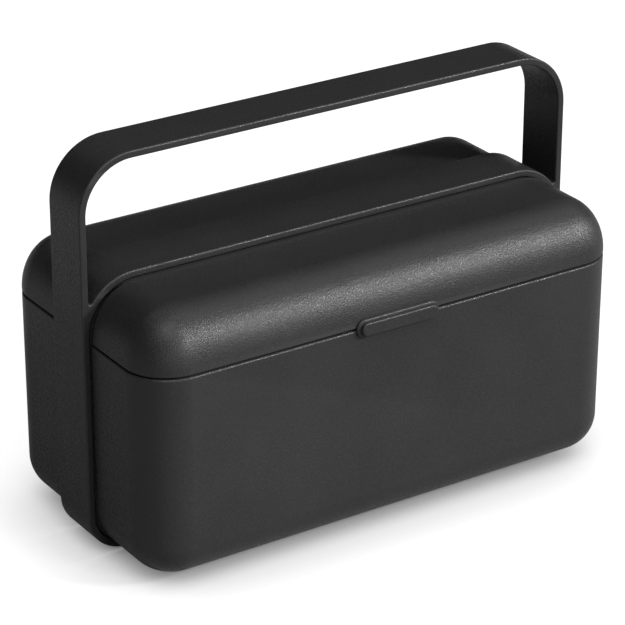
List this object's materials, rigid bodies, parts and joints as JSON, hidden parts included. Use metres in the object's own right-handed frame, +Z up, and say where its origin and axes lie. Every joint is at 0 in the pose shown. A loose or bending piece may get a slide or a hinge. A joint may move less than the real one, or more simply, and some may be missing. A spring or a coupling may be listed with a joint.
{
  "type": "two-lid lunch box",
  "caption": "Lunch box of two long tubs back to back with domed lids that swing up beside a strap ring, which rises into a fixed carrying handle; a small pull latch holds each lid.",
  "frame": {"origin": "on the table under the middle of the box", "axes": "+X along the box's length, +Z up towards the handle; the front lid and its latch are on the -Y side"},
  "size_m": [0.2154, 0.1124, 0.1575],
  "materials": {
    "shell": "fine moulded grain, charcoal",
    "core": "plain moulded, near black",
    "divider": "satin moulded, dark grey",
    "steel": "drawn wire and turned steel",
    "pad": "matt black elastomer"
  },
  "bodies": {
    "base": {"handle_band": "shell", "spine": "core", "front_tub": "shell", "rear_tub": "shell", "hinge_pin_1": "steel", "hinge_pin_2": "steel", "hinge_pin_3": "steel", "hinge_pin_4": "steel", "band_screw_1": "steel", "band_screw_2": "steel", "band_screw_3": "steel", "band_screw_4": "steel", "foot_1": "pad", "foot_2": "pad", "foot_3": "pad", "foot_4": "pad", "front_divider": "divider", "rear_divider": "divider"},
    "front_lid": {"front_lid": "shell", "front_latch_pin": "steel", "front_latch_spring": "steel"},
    "rear_lid": {"rear_lid": "shell", "rear_latch_pin": "steel", "rear_latch_spring": "steel"},
    "front_latch": {"front_latch": "shell"},
    "rear_latch": {"rear_latch": "shell"}
  },
  "joints": [
    {"name": "front_lid_hinge", "type": "hinge", "parent": "base", "child": "front_lid", "pos_m": [0, -0.0161, 0.1056], "axis": [-1, 0, 0], "range_deg": [0, 95]},
    {"name": "rear_lid_hinge", "type": "hinge", "parent": "base", "child": "rear_lid", "pos_m": [0, 0.0161, 0.1056], "axis": [1, 0, 0], "range_deg": [0, 95]},
    {"name": "front_latch_pull", "type": "hinge", "parent": "front_lid", "child": "front_latch", "pos_m": [0, -0.0493, 0.0914], "axis": [-1, 0, 0], "range_deg": [0, 10], "stiffness_Nm_per_rad": 0.02, "springref_deg": -17.19},
    {"name": "rear_latch_pull", "type": "hinge", "parent": "rear_lid", "child": "rear_latch", "pos_m": [0, 0.0493, 0.0914], "axis": [1, 0, 0], "range_deg": [0, 10], "stiffness_Nm_per_rad": 0.02, "springref_deg": -17.19}
  ]
}
